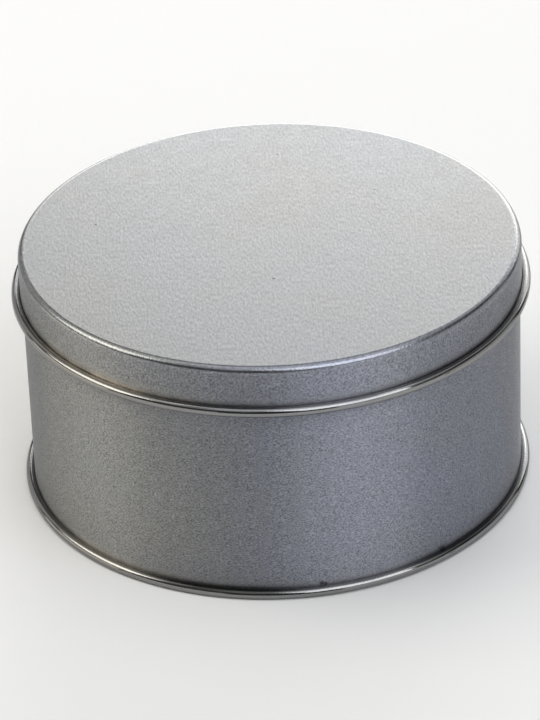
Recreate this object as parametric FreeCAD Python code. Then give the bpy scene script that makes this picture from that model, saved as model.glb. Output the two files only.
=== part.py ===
import FreeCAD, Part
import math
import os

# A round tin with a slip lid, pressed and rolled from thin plain tinplate.
#
# Three pieces, each turned about the tin's axis from one section:
#   body      the straight wall, closed and solid, from the base up to the lid's panel
#   lid       a shallow cap of sheet: flat panel, small round shoulder, short skirt, and a hem
#             that is rolled outwards into a round curl
#   base_end  the round bottom, with the bead that its edge and the wall's edge are rolled into;
#             the tin stands on the small flat under that bead
#
# Millimetres. The origin is the middle of the ring that the tin stands on, and +Z is up.

# ---- driving dimensions --------------------------------------------------------------------

WALL_RADIUS = 75.0          # outside of the body's wall
TIN_HEIGHT = 78.0           # from the table to the top of the lid's panel
SHEET = 0.25                # thickness of the tinplate

LID_CLEARANCE = 0.20        # between the wall and the inside of the lid's skirt
LID_DEPTH = 15.15           # from the top of the panel to the bottom of the curl
SHOULDER_RADIUS = 1.9       # outside of the bend between the lid's panel and its skirt
LID_CURL_RADIUS = 1.46      # outside of the lid's rolled hem
CURL_GAP = 0.20             # between the curl's free edge and the skirt that it turns back to

BASE_BEAD_RADIUS = 1.46     # outside of the rolled bead round the base
FOOT_WIDTH = 0.90           # width of the flat ring under the base bead
BASE_BEND_RADIUS = 0.30     # bend between the bead and the underside of the base's panel

# ---- sizes that follow from them -----------------------------------------------------------

SKIRT_INSIDE = WALL_RADIUS + LID_CLEARANCE
SKIRT_OUTSIDE = SKIRT_INSIDE + SHEET
PANEL_UNDERSIDE = TIN_HEIGHT - SHEET

SHOULDER_CENTRE = (SKIRT_OUTSIDE - SHOULDER_RADIUS, TIN_HEIGHT - SHOULDER_RADIUS)
LID_CURL_CENTRE = (SKIRT_INSIDE + LID_CURL_RADIUS, TIN_HEIGHT - LID_DEPTH + LID_CURL_RADIUS)

BASE_BEAD_RISE = math.sqrt(BASE_BEAD_RADIUS ** 2 - (FOOT_WIDTH / 2) ** 2)
BASE_BEAD_CENTRE = (WALL_RADIUS - SHEET + BASE_BEAD_RADIUS, BASE_BEAD_RISE)

# The base bead closes on the wall at this angle round its own centre, and the base's panel
# lies level with that crease, so the wall stands on the panel's edge.
CREASE_ANGLE = math.degrees(math.acos((WALL_RADIUS - BASE_BEAD_CENTRE[0]) / BASE_BEAD_RADIUS))
CREASE_HEIGHT = BASE_BEAD_CENTRE[1] + BASE_BEAD_RADIUS * math.sin(math.radians(CREASE_ANGLE))
BASE_UNDERSIDE = CREASE_HEIGHT - SHEET

# ---- drawing -------------------------------------------------------------------------------

FULL_TURN = 360
LONGEST_ARC = 30            # degrees; a bend is drawn in arcs no longer than this, so that the
                            # thin sheet keeps its thickness when its faces are divided coarsely
SAME_PLACE = 1e-6


class HalfSection:
    """The outline of a half section, drawn as (distance from the axis, height)."""

    def __init__(self, start):
        self.start = FreeCAD.Vector(start[0], 0, start[1])
        self.end = self.start
        self.edges = []

    def line_to(self, place):
        """Draw a straight edge to a place, unless the outline is there already."""
        target = FreeCAD.Vector(place[0], 0, place[1])
        if not self.end.isEqual(target, SAME_PLACE):
            self.edges.append(Part.LineSegment(self.end, target).toShape())
            self.end = target

    def bend(self, centre, radius, start_angle, end_angle):
        """Draw a straight edge to the start of a bend, then the bend round its centre.

        Angles are in degrees, up from the direction that points away from the axis.
        """
        def place(angle):
            turn = math.radians(angle)
            return centre[0] + radius * math.cos(turn), centre[1] + radius * math.sin(turn)

        self.line_to(place(start_angle))
        arcs = math.ceil(abs(end_angle - start_angle) / LONGEST_ARC)
        step = (end_angle - start_angle) / arcs
        for number in range(arcs):
            middle = place(start_angle + step * (number + 0.5))
            end = place(start_angle + step * (number + 1))
            middle_point = FreeCAD.Vector(middle[0], 0, middle[1])
            end_point = FreeCAD.Vector(end[0], 0, end[1])
            self.edges.append(Part.Arc(self.end, middle_point, end_point).toShape())
            self.end = end_point

    def turned(self):
        """Close the outline and sweep it one full turn about the tin's axis."""
        self.line_to((self.start.x, self.start.z))
        face = Part.Face(Part.Wire(self.edges))
        return face.revolve(FreeCAD.Vector(0, 0, 0), FreeCAD.Vector(0, 0, 1), FULL_TURN)


# ---- the three pieces ----------------------------------------------------------------------

def make_body():
    """The wall and all that it holds: solid, with its top edge rounded to clear the lid."""
    edge_radius = SHOULDER_RADIUS - SHEET + LID_CLEARANCE
    edge_centre = (WALL_RADIUS - edge_radius, PANEL_UNDERSIDE - edge_radius)

    section = HalfSection((0, CREASE_HEIGHT))
    section.line_to((WALL_RADIUS, CREASE_HEIGHT))
    section.bend(edge_centre, edge_radius, 0, 90)
    section.line_to((0, PANEL_UNDERSIDE))
    return section.turned()


def make_lid():
    """One sheet: panel, shoulder and skirt, then the hem rolled outwards and back to the skirt."""
    inner_shoulder_radius = SHOULDER_RADIUS - SHEET
    inner_curl_radius = LID_CURL_RADIUS - SHEET
    free_edge_reach = SKIRT_OUTSIDE + CURL_GAP - LID_CURL_CENTRE[0]
    free_edge_angle = FULL_TURN + math.degrees(math.acos(free_edge_reach / LID_CURL_RADIUS))

    section = HalfSection((0, TIN_HEIGHT))
    section.bend(SHOULDER_CENTRE, SHOULDER_RADIUS, 90, 0)
    section.bend(LID_CURL_CENTRE, inner_curl_radius, 180, free_edge_angle)
    section.bend(LID_CURL_CENTRE, LID_CURL_RADIUS, free_edge_angle, 180)
    section.bend(SHOULDER_CENTRE, inner_shoulder_radius, 0, 90)
    section.line_to((0, PANEL_UNDERSIDE))
    return section.turned()


def make_base_end():
    """The recessed bottom panel and the closed bead, where both sheets are rolled together."""
    foot_half_angle = math.degrees(math.asin(FOOT_WIDTH / 2 / BASE_BEAD_RADIUS))
    bead_inside = BASE_BEAD_CENTRE[0] - BASE_BEAD_RADIUS
    bend_centre = (bead_inside - BASE_BEND_RADIUS, BASE_UNDERSIDE - BASE_BEND_RADIUS)

    section = HalfSection((0, CREASE_HEIGHT))
    section.bend(BASE_BEAD_CENTRE, BASE_BEAD_RADIUS, CREASE_ANGLE, foot_half_angle - 90)
    section.bend(BASE_BEAD_CENTRE, BASE_BEAD_RADIUS, -foot_half_angle - 90, -180)
    section.bend(bend_centre, BASE_BEND_RADIUS, 0, 90)
    section.line_to((0, BASE_UNDERSIDE))
    return section.turned()


PIECES = {
    "body": make_body,
    "lid": make_lid,
    "base_end": make_base_end,
}

os.makedirs("parts", exist_ok=True)
for node, make_piece in PIECES.items():
    piece = make_piece()
    piece.exportStep(f"parts/{node}.step")
    box = piece.optimalBoundingBox(False, False)
    print(
        f"{node}: {len(piece.Solids)} solid, valid {piece.isValid()}, "
        f"volume {piece.Volume:.1f} mm3, radius {box.XMax:.3f}, "
        f"height {box.ZMin:.3f} to {box.ZMax:.3f}"
    )
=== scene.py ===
# %% [markdown]
# # A plain round tin with a slip lid
#
# The real thing is pressed from bare tinplate: thin steel sheet with a coat of tin. A straight
# wall is rolled from one strip, a flat lid slips down over it, and a round bottom closes it
# below. The lid's hem and the bottom's edge are both rolled outwards into round beads, which
# stiffen the sheet and hide its sharp edges. There is no print and no lettering.
#
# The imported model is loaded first. It fixes every size, so each piece here is drawn to it.

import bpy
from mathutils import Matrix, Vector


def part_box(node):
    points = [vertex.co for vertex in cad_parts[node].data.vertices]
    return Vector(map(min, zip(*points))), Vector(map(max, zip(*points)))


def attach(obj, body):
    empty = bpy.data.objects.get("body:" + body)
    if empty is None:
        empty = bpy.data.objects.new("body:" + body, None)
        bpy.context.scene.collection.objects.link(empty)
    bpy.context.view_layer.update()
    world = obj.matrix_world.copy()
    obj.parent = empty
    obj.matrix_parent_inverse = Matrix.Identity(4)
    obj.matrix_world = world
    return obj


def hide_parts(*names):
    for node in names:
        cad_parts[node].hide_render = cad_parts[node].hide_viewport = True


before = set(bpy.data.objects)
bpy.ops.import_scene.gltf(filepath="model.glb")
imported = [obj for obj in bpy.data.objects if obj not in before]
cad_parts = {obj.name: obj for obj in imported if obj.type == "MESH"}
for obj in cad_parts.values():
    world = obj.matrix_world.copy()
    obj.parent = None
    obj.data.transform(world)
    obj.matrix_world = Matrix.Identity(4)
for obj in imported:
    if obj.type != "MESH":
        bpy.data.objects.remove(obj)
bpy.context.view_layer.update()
print("nodes:", sorted(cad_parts))

# %% [markdown]
# ## Sizes
#
# The outside sizes are read from the model's own pieces. A few thin sizes, such as the sheet
# and the bends, can't be read from a box, so they are named here once and used everywhere.
# Blender works in metres, so millimetres are written through MM.

# %% Sizes
import math

import bmesh
import bpy
from mathutils import Matrix, Vector

MM = 0.001

SHEET = 0.25 * MM            # thickness of the tinplate
LID_CLEARANCE = 0.20 * MM    # between the wall and the lid's skirt
SHOULDER_RADIUS = 1.9 * MM   # outside of the bend at the lid's edge
CURL_GAP = 0.08 * MM         # between the hem's free edge and the skirt
FOOT_WIDTH = 0.9 * MM        # flat ring under the base bead
BASE_BEND_RADIUS = 0.3 * MM  # bend between the base bead and the bottom's panel

wall_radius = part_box("body")[1][0]
wall_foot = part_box("body")[0][2]
wall_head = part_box("body")[1][2]
lid_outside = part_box("lid")[1][0]
lid_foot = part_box("lid")[0][2]
lid_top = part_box("lid")[1][2]
base_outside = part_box("base_end")[1][0]

skirt_inside = wall_radius + LID_CLEARANCE
skirt_outside = skirt_inside + SHEET
lid_curl_radius = (lid_outside - skirt_inside) / 2
base_bead_radius = (base_outside - (wall_radius - SHEET)) / 2

print(f"wall {2 * wall_radius / MM:.1f} mm across, tin {lid_top / MM:.1f} mm high")
print(f"lid's hem {2 * lid_curl_radius / MM:.2f} mm thick")
print(f"base bead {2 * base_bead_radius / MM:.2f} mm thick")

# %% [markdown]
# ## Drawing and turning an outline
#
# Every piece of the tin is round, so each one is half a section turned about the tin's axis.
# The outline starts as one vertex. A straight stretch is that vertex extruded to a place, and a
# bend is the vertex spun round the bend's own centre, which leaves a true arc behind it. The
# whole outline is then spun once about the axis. Spin is used both times because it keeps
# rings and arcs exact, and its steps can be chosen for how close the camera comes.
#
# A spun vertex takes its marks along, so a whole bend carries the marks of its first vertex.

# %% Helpers for outlines
RING_STEPS = 288             # faces round the tin
HOLD = 0.35 * MM             # a short flat beside a bend, which keeps the bend's shading inside it
SAME_PLACE = 0.002 * MM      # vertices closer than this become one
SHARP_DEGREES = 40           # a fold sharper than this shows as an edge


def start_outline(radius, height):
    """Begin a half section with one vertex, and return the mesh and that vertex."""
    bm = bmesh.new()
    bm.verts.layers.float.new("rolled")
    bm.verts.layers.float.new("crease")
    first = bmesh.ops.create_vert(bm, co=(radius, 0, height))["vert"][0]
    return bm, first


def mark_crease(bm, vertex, crease):
    """Set how strongly the sheet is pressed at a vertex."""
    vertex[bm.verts.layers.float["crease"]] = crease


def straight_to(bm, vertex, radius, height, crease=0.0):
    """Draw a straight stretch to a place and return the vertex at its end."""
    end = bmesh.ops.extrude_vert_indiv(bm, verts=[vertex])["verts"][0]
    end.co = (radius, 0, height)
    end[bm.verts.layers.float["rolled"]] = 0.0
    mark_crease(bm, end, crease)
    return end


def bend_round(bm, vertex, centre, degrees, steps, rolled=1.0):
    """Spin a vertex about a centre in the section and return the vertex at the arc's end."""
    vertex[bm.verts.layers.float["rolled"]] = rolled
    arc = bmesh.ops.spin(
        bm,
        geom=[vertex],
        cent=(centre[0], 0, centre[1]),
        axis=(0, -1, 0),
        angle=math.radians(degrees),
        steps=steps,
        use_duplicate=False,
    )
    return [item for item in arc["geom_last"] if isinstance(item, bmesh.types.BMVert)][0]


def turn_outline(bm):
    """Spin the drawn outline once about the tin's axis and close the seam and the poles."""
    bmesh.ops.spin(
        bm,
        geom=bm.verts[:] + bm.edges[:],
        cent=(0, 0, 0),
        axis=(0, 0, 1),
        angle=math.tau,
        steps=RING_STEPS,
        use_merge=True,
    )
    bmesh.ops.remove_doubles(bm, verts=bm.verts[:], dist=SAME_PLACE)
    bmesh.ops.recalc_face_normals(bm, faces=bm.faces[:])


def finish_piece(bm, name, *materials):
    """Turn a finished bmesh into a smooth object that rides on the model and has a finish."""
    mesh = bpy.data.meshes.new(name)
    bm.to_mesh(mesh)
    bm.free()
    mesh.shade_smooth()
    mesh.set_sharp_from_angle(angle=math.radians(SHARP_DEGREES))
    for material in materials:
        mesh.materials.append(material)
    piece = bpy.data.objects.new(name, mesh)
    bpy.context.collection.objects.link(piece)
    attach(piece, "root")
    print(f"{name}: {len(mesh.vertices)} vertices, {len(mesh.polygons)} faces")
    return piece


# %% [markdown]
# ## What tinplate looks like
#
# Bare tinplate is a soft grey mirror with a fine grain: the tin coat freezes over a slightly
# rough steel sheet, so each small patch leans a little and the reflection breaks up into a
# pearly stipple. Under the stipple the tone drifts slowly. On this tin one side is bluer, and
# another side is warmer, and beside its bends a brown stain is painted pale as painted glow.
#
# The finish could be painted, but a painting is tied to one size of tin. Here it is made of
# layers on Object coordinates, which stay in place on the metal. The two marks that the
# outlines carry on their vertices steer it. "rolled" is high on the bends, where the tools rub
# the sheet smooth, so the gloss rises and the grain fades. "crease" is high in the narrow bands
# beside the hem and the bead, where the rollers press the sheet, so it is glossier. Its paler
# tone there is painted light: a painted reflection of the bright bends, which also lifts the
# shade in the crease.

# %% Tones and gloss
TIN_GREY = (0.272, 0.277, 0.279)      # the grained coat
TIN_BLUE = (0.270, 0.282, 0.322)      # and the same on its bluer side
TIN_WARM = (0.275, 0.276, 0.268)      # and on its warmer side
RUBBED_GREY = (0.270, 0.270, 0.270)   # the rubbed bends
RUBBED_BROWN = (0.272, 0.262, 0.245)  # and the same on the warmer side
CREASE_GLOW_GREY = (0.33, 0.33, 0.341)     # the pressed bands, painted paler: a painted reflection of the bright bends
CREASE_STAIN_AND_GLOW = (0.62, 0.558, 0.48)    # and the same on the warmer side: a brown stain, painted far paler as a painted reflection
WARM_TINT = (1.00, 0.99, 0.97)        # the two ends of the slow drift
COOL_TINT = (0.99, 1.00, 1.02)

PANEL_ROUGHNESS = 0.36       # the lid's flat panel
SIDE_ROUGHNESS = 0.42        # the skirt, the wall and the base
ROLLED_ROUGHNESS = 0.10      # where the tools have rubbed the sheet
CREASE_ROUGHNESS = 0.26      # in the pressed bands
EDGE_TINT = 0.70             # how much of the mirror-like edge brightness the metal keeps
BRUSHED = 0.93               # how far the side's grain draws a reflection out, up and down
BRUSH_TURN = 0.25            # a quarter turn from the direction round the tin

CLOUDS_PER_METRE = 22.0      # the slow drift of tone
MOTTLES_PER_METRE = 240.0    # the uneven pressing and gloss
GRAINS_PER_METRE = 1500.0    # the stipple
GRAIN_HEIGHT = 0.05 * MM     # relief of the stipple
GRAIN_LEFT = 0.2             # how much of the stipple the rolled bends keep

BROWN_SIDE = (-138.0, wall_radius, 36.0 * MM, 58.0 * MM)   # azimuth, radius, height and reach
BLUE_SIDE = (-64.0, wall_radius, 38.0 * MM, 98.0 * MM)
BLUE_SIDE_BENDS = 0.4        # a bend rubbed this much or more is as blue as the side can be

print(f"a grain is about {1 / (GRAINS_PER_METRE * MM):.2f} mm wide")

# %% [markdown]
# ## Marks of use, and painted shade
#
# A tin that has been handled has a few small flaws: dark specks in the lid's coat and smudges
# where the wall meets the base bead. Along the top of that bead, darker streaks are painted
# shade, which dims the lamps' highlight there. The flaws could be modelled, but nothing of them
# stands up from the sheet, so each one, like the streaks, is only a darker place in the tone.

# %% Marks of use and painted shade
# Specks and smudges: azimuth, distance from the axis, height, reach and strength
LID_SPECKS = (
    (166.0, 53.8 * MM, lid_top, 0.55 * MM, 1.0),
    (-88.0, 24.1 * MM, lid_top, 0.55 * MM, 1.0),
    (40.5, 43.1 * MM, lid_top, 0.40 * MM, 1.0),
    (86.0, 53.2 * MM, lid_top, 0.40 * MM, 1.0),
)
FOOT_SMUDGES = (
    (-81.3, wall_radius, 3.3 * MM, 0.95 * MM, 1.0),
    (-80.4, wall_radius, 3.0 * MM, 0.85 * MM, 0.9),
    (-51.3, wall_radius, 3.6 * MM, 1.20 * MM, 0.60),
    (-50.4, wall_radius, 3.1 * MM, 1.20 * MM, 0.75),
)
SPECK_GREY = (0.30, 0.30, 0.31)      # what a speck leaves of the metal's tone

# Painted shade streaks along the top of the base bead, which dim its highlight: azimuth, reach and
# strength
BEAD_SHADE_STREAKS = (
    (-102.0, 32.0 * MM, 1.0),
    (-42.0, 22.0 * MM, 0.8),
)
STREAK_SHADE_GREY = (0.33, 0.33, 0.33)     # what a painted shade streak leaves of the metal's tone
STREAK_EDGE = (2.2 * MM, 2.5 * MM)   # heights between which a streak sets in

print(f"{len(LID_SPECKS)} specks, {len(FOOT_SMUDGES)} smudges, {len(BEAD_SHADE_STREAKS)} streaks")

# %% [markdown]
# ## Small tools for the finish
#
# A finish is a tree of nodes. Each of these functions adds a node, joins it up and hands back
# the socket that holds the result, so the finish below reads like a sentence. The same tree
# could be put together by hand in the shader editor.

# %% Values and colours
def noise_layer(tree, place, label, per_metre, detail):
    """A noise that is fixed to the piece, with so many features in a metre."""
    texture = tree.nodes.new("ShaderNodeTexNoise")
    texture.label = label
    texture.inputs["Scale"].default_value = per_metre
    texture.inputs["Detail"].default_value = detail
    tree.links.new(place, texture.inputs["Vector"])
    return texture.outputs["Fac"]


def spread(tree, value, low, high, from_low=0.3, from_high=0.7):
    """Stretch a value from between two limits to between two others, and hold it there."""
    stretch = tree.nodes.new("ShaderNodeMapRange")
    stretch.inputs["From Min"].default_value = from_low
    stretch.inputs["From Max"].default_value = from_high
    stretch.inputs["To Min"].default_value = low
    stretch.inputs["To Max"].default_value = high
    tree.links.new(value, stretch.inputs["Value"])
    return stretch.outputs["Result"]


def multiply(tree, first, second):
    """The product of two values. Either one may be a plain number."""
    product = tree.nodes.new("ShaderNodeMath")
    product.operation = "MULTIPLY"
    for socket, value in zip(product.inputs, (first, second)):
        if isinstance(value, float):
            socket.default_value = value
        else:
            tree.links.new(value, socket)
    return product.outputs["Value"]


def blend_to(tree, factor, value, target):
    """Lead a value over to a plain number as the factor rises."""
    mix = tree.nodes.new("ShaderNodeMix")
    tree.links.new(factor, mix.inputs["Factor"])
    tree.links.new(value, mix.inputs["A"])
    mix.inputs["B"].default_value = target
    return mix.outputs["Result"]


def blend_colours(tree, factor, first, second, method="MIX"):
    """Mix two colours. Either one may be a plain colour."""
    mix = tree.nodes.new("ShaderNodeMix")
    mix.data_type = "RGBA"
    mix.blend_type = method
    if isinstance(factor, float):
        mix.inputs["Factor"].default_value = factor
    else:
        tree.links.new(factor, mix.inputs["Factor"])
    for name, colour in (("A", first), ("B", second)):
        socket = [item for item in mix.inputs if item.name == name and item.type == "RGBA"][0]
        if isinstance(colour, tuple):
            socket.default_value = (*colour, 1)
        else:
            tree.links.new(colour, socket)
    return [item for item in mix.outputs if item.type == "RGBA"][0]


def multiply_colour(tree, colour, by):
    """Darken or lighten a colour by a value, or by another colour."""
    return blend_colours(tree, 1.0, colour, by, "MULTIPLY")


# %% [markdown]
# ## Where a layer shows
#
# A layer can follow a mark on the vertices, or it can keep to one place. A place is given the
# way a turner would: how far round, how far from the axis, and how high. The distance from
# there to each point of the metal then fades the layer out.

# %% Marks and places
PATCH_CORE = 0.4             # the part of a patch's reach that it fills whole


def mark(tree, name):
    """Read one of the marks that the outlines carry."""
    attribute = tree.nodes.new("ShaderNodeAttribute")
    attribute.attribute_name = name
    return attribute.outputs["Fac"]


def patch(tree, place, azimuth, radius, height, reach):
    """High near one place on the tin, and fading to nothing at its reach."""
    around = math.radians(azimuth)
    centre = (radius * math.cos(around), radius * math.sin(around), height)
    distance = tree.nodes.new("ShaderNodeVectorMath")
    distance.operation = "DISTANCE"
    distance.inputs[1].default_value = centre
    tree.links.new(place, distance.inputs[0])
    return spread(tree, distance.outputs["Value"], 1.0, 0.0, PATCH_CORE * reach, reach)


def bead_top(tree, place, azimuth, reach):
    """High along the top of the base bead near one azimuth."""
    height = tree.nodes.new("ShaderNodeSeparateXYZ")
    tree.links.new(place, height.inputs["Vector"])
    top = spread(tree, height.outputs["Z"], 0.0, 1.0, *STREAK_EDGE)
    return multiply(tree, top, patch(tree, place, azimuth, base_outside, STREAK_EDGE[1], reach))


# %% [markdown]
# ## The layers of the tinplate
#
# The tone is built from the bottom up. First comes the metal, which drifts between warm and
# cool and differs from side to side. The stipple goes over it, then the pressed bands with
# their painted glow, and the marks of use and the painted shade streaks come last, so that
# they darken whatever lies under them.

# %% Layers of the tone
def metal_tone(tree, place, rolled, warm_side, blueness):
    """The metal's own tone, with its bluer side, its warmer side and its rubbed bends."""
    blue_reach = spread(tree, rolled, blueness, 1.0, 0.0, BLUE_SIDE_BENDS)
    blue_side = multiply(tree, patch(tree, place, *BLUE_SIDE), blue_reach)
    sheet = blend_colours(tree, blue_side, TIN_GREY, TIN_BLUE)
    sheet = blend_colours(tree, warm_side, sheet, TIN_WARM)
    rubbed = blend_colours(tree, warm_side, RUBBED_GREY, RUBBED_BROWN)
    tone = blend_colours(tree, spread(tree, rolled, 0.0, 1.0, 0.5, 1.0), sheet, rubbed)
    clouds = noise_layer(tree, place, "broad clouds", CLOUDS_PER_METRE, 3.0)
    drift = blend_colours(tree, spread(tree, clouds, 0.0, 1.0, 0.35, 0.65), WARM_TINT, COOL_TINT)
    return multiply_colour(tree, tone, drift)


def stippled(tree, tone, grain, grain_kept, grain_tone):
    """The tone with lighter and darker grains in it."""
    stipple = spread(tree, grain, 1.0 - grain_tone, 1.0 + grain_tone)
    return blend_colours(tree, grain_kept, tone, multiply_colour(tree, tone, stipple))


# Painted light: the crease bands are painted paler than the metal, a painted reflection of the
# bright bends.
def painted_crease_glow(tree, tone, crease, mottle, warm_side):
    """The tone with the uneven pale bands beside the hem and the bead, painted as glow."""
    band = blend_colours(tree, warm_side, CREASE_GLOW_GREY, CREASE_STAIN_AND_GLOW)
    return blend_colours(tree, multiply(tree, crease, spread(tree, mottle, 0.3, 1.0)), tone, band)


def used(tree, place, tone, flaws, streaks):
    """The tone with its specks and smudges, and the painted shade streaks on the base bead."""
    for azimuth, radius, height, reach, strength in flaws:
        speck = multiply(tree, patch(tree, place, azimuth, radius, height, reach), strength)
        tone = blend_colours(tree, speck, tone, multiply_colour(tree, tone, SPECK_GREY))
    # Painted shade: each streak darkens the top of the base bead, dimming the lamps' highlight
    # there.
    for azimuth, reach, strength in streaks:
        streak = multiply(tree, bead_top(tree, place, azimuth, reach), strength)
        tone = blend_colours(tree, streak, tone, multiply_colour(tree, tone, STREAK_SHADE_GREY))
    return tone


# %% [markdown]
# ## The tinplate
#
# It is one metal for all pieces, so one function makes every finish. Tone and gloss are blended
# by the two marks, and the stipple also tilts the surface a little through a Bump node, which
# costs no faces. Where the sheet has been drawn through rollers, its grain runs round the tin
# and draws every reflection out up and down. An anisotropic metal does that without modelled
# lines, once its Tangent is told which way is round.

# %% The tinplate finish
def tinplate(name, roughness, brushed, blueness, grain_tone, grain_scale, flaws=(), streaks=()):
    """Bare tinplate: grained on the sheet, smoother on the bends, pressed beside them.

    brushed is how far reflections are drawn out, and blueness is how much of the blue side
    shows on flat sheet. grain_tone is how much lighter and darker the grains are, and
    grain_scale is how fine they are along each axis.
    """
    material = bpy.data.materials.new(name)
    material.use_nodes = True
    tree = material.node_tree
    metal = tree.nodes["Principled BSDF"]
    metal.inputs["Metallic"].default_value = 1.0
    metal.inputs["Specular Tint"].default_value = (EDGE_TINT, EDGE_TINT, EDGE_TINT, 1)
    metal.inputs["Anisotropic"].default_value = brushed
    metal.inputs["Anisotropic Rotation"].default_value = BRUSH_TURN

    place = tree.nodes.new("ShaderNodeTexCoord").outputs["Object"]
    rolled = mark(tree, "rolled")
    crease = mark(tree, "crease")
    warm_side = patch(tree, place, *BROWN_SIDE)
    mottle = noise_layer(tree, place, "mottling", MOTTLES_PER_METRE, 4.0)
    stretched = tree.nodes.new("ShaderNodeVectorMath")
    stretched.operation = "MULTIPLY"
    stretched.inputs[1].default_value = grain_scale
    tree.links.new(place, stretched.inputs[0])
    grain = noise_layer(tree, stretched.outputs["Vector"], "stipple", GRAINS_PER_METRE, 2.0)
    grain_kept = spread(tree, rolled, 1.0, GRAIN_LEFT, 0.5, 1.0)

    tone = metal_tone(tree, place, rolled, warm_side, blueness)
    tone = stippled(tree, tone, grain, grain_kept, grain_tone)
    # painted glow: paler crease bands that stand in for reflected light
    tone = painted_crease_glow(tree, tone, crease, mottle, warm_side)
    tone = used(tree, place, tone, flaws, streaks)
    tree.links.new(tone, metal.inputs["Base Color"])

    gloss = spread(tree, mottle, roughness * 0.94, roughness * 1.06)
    gloss = blend_to(tree, rolled, gloss, ROLLED_ROUGHNESS)
    gloss = blend_to(tree, crease, gloss, CREASE_ROUGHNESS)
    tree.links.new(gloss, metal.inputs["Roughness"])

    relief = tree.nodes.new("ShaderNodeBump")
    relief.inputs["Distance"].default_value = GRAIN_HEIGHT
    tree.links.new(grain_kept, relief.inputs["Strength"])
    tree.links.new(grain, relief.inputs["Height"])
    tree.links.new(relief.outputs["Normal"], metal.inputs["Normal"])
    around = tree.nodes.new("ShaderNodeVectorMath")
    around.operation = "CROSS_PRODUCT"
    around.inputs[0].default_value = (0, 0, 1)
    tree.links.new(place, around.inputs[1])
    tree.links.new(around.outputs["Vector"], metal.inputs["Tangent"])
    print(f"{name}: {len(tree.nodes)} nodes")
    return material


# %% [markdown]
# ## Four finishes of one metal
#
# The pieces differ only in a few numbers. The lid's panel is the smoothest sheet, with a low
# grain that is longer one way, the way the sheet was rolled. The skirt, the wall and the base
# have a stronger grain. The flaws go to the piece that they are on.

# %% The four finishes
SIDE_GRAIN = (1.15, 1.15, 2.0)   # the wall's grains are wider than they are high

panel_finish = tinplate(
    "tinplate_panel",
    roughness=PANEL_ROUGHNESS,
    brushed=0.0,
    blueness=0.15,
    grain_tone=0.14,
    grain_scale=(1.0, 0.38, 1.0),
    flaws=LID_SPECKS,
)
skirt_finish = tinplate(
    "tinplate_skirt",
    roughness=SIDE_ROUGHNESS,
    brushed=BRUSHED,
    blueness=1.0,
    grain_tone=0.42,
    grain_scale=(1.25, 1.25, 1.25),
)
wall_finish = tinplate(
    "tinplate_wall",
    roughness=SIDE_ROUGHNESS,
    brushed=BRUSHED,
    blueness=1.0,
    grain_tone=0.45,
    grain_scale=SIDE_GRAIN,
    flaws=FOOT_SMUDGES,
)
base_finish = tinplate(
    "tinplate_base",
    roughness=SIDE_ROUGHNESS,
    brushed=BRUSHED,
    blueness=1.0,
    grain_tone=0.45,
    grain_scale=SIDE_GRAIN,
    # painted shade along the top of the bead
    streaks=BEAD_SHADE_STREAKS,
)

# %% [markdown]
# ## The lid
#
# The lid is one disc of sheet, pressed into a shallow cap. Its panel is flat, its shoulder is a
# small round bend, its skirt is short, and its hem is rolled outwards almost a full turn until
# the free edge all but meets the skirt again. The outline follows the outside of the sheet, and
# a Solidify modifier gives the real thickness inwards, so the hem is a true hollow curl.
#
# The pressed band beside the hem, glossier and painted paler as a painted reflection of the
# bright hem, is strong in a narrow core and faint above it, and the end of the hem that turns
# back to the skirt is pressed too. The skirt's finish starts a little way up the shoulder, so
# that the change is hidden in the bend.

# %% Sizes of the lid's bends
PANEL_RINGS = 12             # rings across a flat panel
SHOULDER_RUB = 0.40          # the press rubs the shoulder less than the rollers rub the hem
BAND_REACH = 3.8 * MM        # how far a pressed band and its painted glow spread from a crease, faintly
BAND_CORE = 0.9 * MM         # and how far it is strong
FAINT = 0.4                  # its strength at the end of the core
HEM_END = 50                 # degrees of the hem, up to its free edge, that are pressed
HEM_END_START = 8            # and the first of them, where the band is half as strong
SKIRT_HEAD = 0.35            # part of the shoulder's radius that has the skirt's finish

shoulder_centre = (skirt_outside - SHOULDER_RADIUS, lid_top - SHOULDER_RADIUS)
lid_curl_centre = (skirt_inside + lid_curl_radius, lid_foot + lid_curl_radius)
lid_crease = lid_curl_centre[1] + lid_curl_radius
free_edge_reach = skirt_outside + CURL_GAP - lid_curl_centre[0]
lid_curl_degrees = 180 + math.degrees(math.acos(free_edge_reach / lid_curl_radius))
skirt_head = shoulder_centre[1] + SKIRT_HEAD * SHOULDER_RADIUS
print(f"the hem is rolled through {lid_curl_degrees:.0f} degrees")

# %% The lid
bm, pen = start_outline(0, lid_top)
for ring in range(1, PANEL_RINGS):
    pen = straight_to(bm, pen, shoulder_centre[0] * ring / PANEL_RINGS, lid_top)
pen = straight_to(bm, pen, shoulder_centre[0] - HOLD, lid_top)
pen = straight_to(bm, pen, shoulder_centre[0], lid_top)
pen = bend_round(bm, pen, shoulder_centre, -90, steps=14, rolled=SHOULDER_RUB)
pen = straight_to(bm, pen, skirt_outside, shoulder_centre[1] - HOLD)
pen = straight_to(bm, pen, skirt_outside, lid_crease + BAND_REACH)
pen = straight_to(bm, pen, skirt_outside, lid_crease + BAND_CORE, crease=FAINT)
pen = straight_to(bm, pen, skirt_outside, lid_crease, crease=1.0)
pen = straight_to(bm, pen, skirt_outside, lid_curl_centre[1] + HOLD, crease=1.0)
pen = straight_to(bm, pen, skirt_outside, lid_curl_centre[1])
pen = bend_round(bm, pen, lid_curl_centre, lid_curl_degrees - HEM_END, steps=31)
mark_crease(bm, pen, 0.5)
pen = bend_round(bm, pen, lid_curl_centre, HEM_END_START, steps=1)
mark_crease(bm, pen, 1.0)
pen = bend_round(bm, pen, lid_curl_centre, HEM_END - HEM_END_START, steps=5)
turn_outline(bm)
for face in bm.faces:
    face.material_index = int(face.calc_center_median().z < skirt_head)
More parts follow.
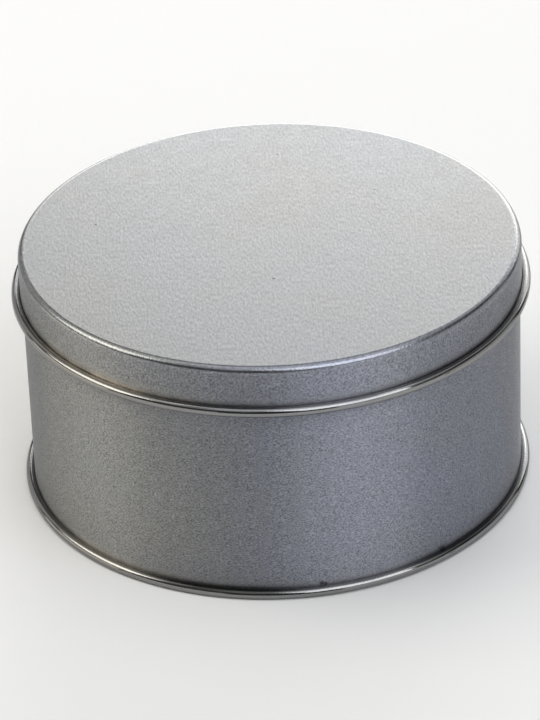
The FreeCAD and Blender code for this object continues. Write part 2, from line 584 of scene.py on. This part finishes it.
lid = finish_piece(bm, "tin_lid", panel_finish, skirt_finish)

thickness = lid.modifiers.new("sheet thickness", "SOLIDIFY")
thickness.thickness = SHEET
thickness.offset = -1
thickness.use_even_offset = True
thickness.use_quality_normals = True
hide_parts("lid")

# %% [markdown]
# ## The wall
#
# The wall is a straight drum. The lid hides its upper edge and the base bead hides its lower
# edge, so it is drawn as one closed form, like the solid in the model. A hollow drum would look
# the same, because a shut tin can't be seen into.

# %% The wall
FOOT_PRESSED_AND_GLOW = 0.8           # the pressed band's strength at the wall's foot, with its painted glow
WALL_EDGE_RADIUS = SHOULDER_RADIUS - SHEET + LID_CLEARANCE
wall_edge_centre = (wall_radius - WALL_EDGE_RADIUS, wall_head - WALL_EDGE_RADIUS)

bm, pen = start_outline(0, wall_foot)
pen = straight_to(bm, pen, wall_radius, wall_foot, crease=FOOT_PRESSED_AND_GLOW)
pen = straight_to(bm, pen, wall_radius, wall_foot + HOLD, crease=FOOT_PRESSED_AND_GLOW)
pen = straight_to(bm, pen, wall_radius, wall_foot + HOLD + BAND_CORE, crease=FAINT)
pen = straight_to(bm, pen, wall_radius, wall_foot + BAND_REACH)
pen = straight_to(bm, pen, wall_radius, wall_edge_centre[1])
pen = bend_round(bm, pen, wall_edge_centre, 90, steps=6, rolled=0.0)
pen = straight_to(bm, pen, 0, wall_head)
turn_outline(bm)
wall = finish_piece(bm, "tin_wall", wall_finish)
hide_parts("body")

# %% [markdown]
# ## The base
#
# The bottom's edge and the wall's edge are rolled together into one bead. The tin stands on a
# small flat under that bead, and inside it the panel is set up by about two millimetres, so
# that it never touches the table. The bead's inner side, against the wall, is pressed, and so
# is the short rise from the bead to the panel. Both are glossier and painted paler as glow.

# %% Sizes of the base
BEAD_PRESSED_AND_GLOW = 0.6           # the pressed band's strength on the bead, with its painted glow
BEAD_PRESSED_AND_GLOW_DEGREES = 30    # how far it reaches over the bead

base_bead_rise = math.sqrt(base_bead_radius ** 2 - (FOOT_WIDTH / 2) ** 2)
base_bead_centre = (base_outside - base_bead_radius, base_bead_rise)
crease_angle = math.degrees(math.acos((wall_radius - base_bead_centre[0]) / base_bead_radius))
foot_half_angle = math.degrees(math.asin(FOOT_WIDTH / 2 / base_bead_radius))
bead_outer_degrees = crease_angle + 90 - foot_half_angle - BEAD_PRESSED_AND_GLOW_DEGREES
base_underside = wall_foot - SHEET
bend_centre = (wall_radius - SHEET - BASE_BEND_RADIUS, base_underside - BASE_BEND_RADIUS)
print(f"the panel is set up {base_underside / MM:.2f} mm")

# %% The base
bm, pen = start_outline(0, wall_foot)
pen = straight_to(bm, pen, wall_radius, wall_foot, crease=BEAD_PRESSED_AND_GLOW)
pen = bend_round(bm, pen, base_bead_centre, -BEAD_PRESSED_AND_GLOW_DEGREES, steps=4)
mark_crease(bm, pen, 0.0)
pen = bend_round(bm, pen, base_bead_centre, -bead_outer_degrees, steps=20)
pen.co.z = 0   # the foot lies in the table's plane, without the arc's last trace of error
pen = straight_to(bm, pen, base_bead_centre[0] - FOOT_WIDTH / 2, 0)
pen = bend_round(bm, pen, base_bead_centre, foot_half_angle - 90, steps=12)
pen = straight_to(bm, pen, wall_radius - SHEET, bend_centre[1], crease=1.0)
pen = bend_round(bm, pen, bend_centre, 90, steps=6)
pen = straight_to(bm, pen, bend_centre[0] - HOLD, base_underside)
for ring in range(PANEL_RINGS - 1, 0, -1):
    pen = straight_to(bm, pen, bend_centre[0] * ring / PANEL_RINGS, base_underside)
pen = straight_to(bm, pen, 0, base_underside)
turn_outline(bm)
base = finish_piece(bm, "tin_base", base_finish)
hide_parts("base_end")

# %% [markdown]
# ## The floor
#
# The tin stands on a plain pale floor. Metal shows what is around it. Seen from a little above,
# the wall and the skirt mirror the floor, so most of their even grey is the floor's own tone.

# %% The floor
FLOOR_SIZE = 8.0
FLOOR_TONE = (0.82, 0.82, 0.815)
FLOOR_ROUGHNESS = 0.9
FLOOR_SHINE = 0.1

bm = bmesh.new()
bmesh.ops.create_grid(bm, x_segments=1, y_segments=1, size=FLOOR_SIZE / 2)
floor_mesh = bpy.data.meshes.new("floor")
bm.to_mesh(floor_mesh)
bm.free()
floor = bpy.data.objects.new("floor", floor_mesh)
bpy.context.collection.objects.link(floor)

floor_finish = bpy.data.materials.new("pale_floor")
floor_finish.use_nodes = True
paint = floor_finish.node_tree.nodes["Principled BSDF"]
paint.inputs["Base Color"].default_value = (*FLOOR_TONE, 1)
paint.inputs["Roughness"].default_value = FLOOR_ROUGHNESS
paint.inputs["Specular IOR Level"].default_value = FLOOR_SHINE
floor_mesh.materials.append(floor_finish)
print(f"floor {FLOOR_SIZE:.0f} m square")

# %% [markdown]
# ## The light
#
# A small lamp would leave a hard spot on metal, so the tin is lit by large soft panels. Each is
# given by where it stands and how large it looks from the tin, because that is what decides
# where its reflection falls. The panels behind the tin whiten the lid. One on the left and one
# on the right draw a bright line along each bend, and the dim room around them leaves the dark
# lines. Low panels help the floor to fill the wall, and faint ones at the sides and overhead
# keep the rest of the bends from turning black.

# %% A soft panel
AIM = Vector((0, 0, lid_top / 2))
LAMP_DISTANCE = 1.6
NEUTRAL = (1.0, 0.995, 0.985)
WARM = (1.0, 0.975, 0.90)
COOL = (0.96, 0.97, 1.0)


def soft_panel(name, azimuth, elevation, wide, tall, glow, tint):
    """A rectangular lamp that faces the tin.

    Its place and its size are angles, in degrees, as the tin sees them. Its glow is how bright
    its surface looks, where a sheet of white paper in the same light would be about 1.
    """
    lamp = bpy.data.lights.new(name, "AREA")
    lamp.shape = "RECTANGLE"
    lamp.size = 2 * LAMP_DISTANCE * math.tan(math.radians(wide / 2))
    lamp.size_y = 2 * LAMP_DISTANCE * math.tan(math.radians(tall / 2))
    lamp.energy = glow * math.pi * lamp.size * lamp.size_y
    lamp.color = tint
    around = math.radians(azimuth)
    above = math.radians(elevation)
    outwards = Vector((
        math.cos(above) * math.cos(around),
        math.cos(above) * math.sin(around),
        math.sin(above),
    ))
    panel = bpy.data.objects.new(name, lamp)
    panel.location = AIM + LAMP_DISTANCE * outwards
    panel.rotation_euler = (-outwards).to_track_quat("-Z", "Y").to_euler()
    panel.visible_camera = False
    bpy.context.collection.objects.link(panel)
    print(f"{name}: {lamp.size:.2f} by {lamp.size_y:.2f} m, {lamp.energy:.1f} W")
    return panel


# %% The panels
# Behind the tin, for the lid
soft_panel("back_wide_panel", 78, 16, 64, 32, 1.9, NEUTRAL)
soft_panel("back_panel", 82, 15, 34, 28, 3.1, NEUTRAL)
soft_panel("back_high_panel", 70, 42, 46, 20, 0.45, NEUTRAL)

# The bright lines along the bends, with a low panel under each for the wall
soft_panel("left_panel", 177, 41, 40, 25, 3.5, WARM)
soft_panel("left_low_panel", 176, 6, 46, 16, 1.4, WARM)
soft_panel("right_panel", -55, 46, 44, 40, 2.6, COOL)
soft_panel("right_low_panel", -41, 10, 48, 24, 0.75, COOL)

# Faint light from the front
soft_panel("front_high_panel", -86, 68, 40, 26, 0.4, COOL)
soft_panel("front_left_panel", -135, 60, 50, 34, 0.4, NEUTRAL)
soft_panel("front_left_low_panel", -136, 3, 46, 14, 0.7, NEUTRAL)

# Faint light from the sides and overhead
soft_panel("right_side_panel", 8, 12, 46, 30, 0.62, NEUTRAL)
soft_panel("left_side_panel", 133, 24, 30, 50, 0.55, NEUTRAL)
soft_panel("top_panel", 45, 84, 40, 40, 1.0, COOL)
soft_panel("top_right_panel", 25, 60, 60, 20, 0.5, NEUTRAL)
soft_panel("top_left_panel", 150, 62, 50, 24, 0.7, WARM)

# %% The dim room
ROOM_GLOW = 0.06

room = bpy.data.worlds.new("dim_room")
room.use_nodes = True
room.node_tree.nodes["Background"].inputs["Color"].default_value = (1, 1, 1, 1)
room.node_tree.nodes["Background"].inputs["Strength"].default_value = ROOM_GLOW
bpy.context.scene.world = room
print(f"{len(bpy.data.lights)} panels in a room at {ROOM_GLOW}")

# %% [markdown]
# ## The camera
#
# The camera looks down on the tin at about 31 degrees with a long lens, and it is rolled a
# little, so the tin leans to the left in the frame. It is placed from the point that it looks
# at, which lies beside the tin's axis by a small step to the side and one upwards. Its three
# axes are worked out first and put into one matrix, because a roll is awkward to give as
# separate angles.

# %% The camera
CAMERA_ELEVATION = math.radians(31.02)
CAMERA_ROLL = math.radians(-2.293)
CAMERA_DISTANCE = 1.2487
AIM_LEFT = 2.43 * MM
AIM_UP = 30.46 * MM
LENS = 201.9

forward = Vector((0, math.cos(CAMERA_ELEVATION), -math.sin(CAMERA_ELEVATION)))
level_right = Vector((1, 0, 0))
level_up = level_right.cross(forward)
right = math.cos(CAMERA_ROLL) * level_right + math.sin(CAMERA_ROLL) * level_up
up = math.cos(CAMERA_ROLL) * level_up - math.sin(CAMERA_ROLL) * level_right

lens = bpy.data.cameras.new("camera")
lens.lens = LENS
camera = bpy.data.objects.new("camera", lens)
turn = Matrix((right, up, -forward)).transposed().to_4x4()
stand = -AIM_LEFT * right + AIM_UP * up - CAMERA_DISTANCE * forward
camera.matrix_world = Matrix.Translation(stand) @ turn
bpy.context.collection.objects.link(camera)
bpy.context.scene.camera = camera
bpy.context.scene.view_settings.view_transform = "Standard"
print(f"camera {stand.length:.3f} m from the middle of the foot")
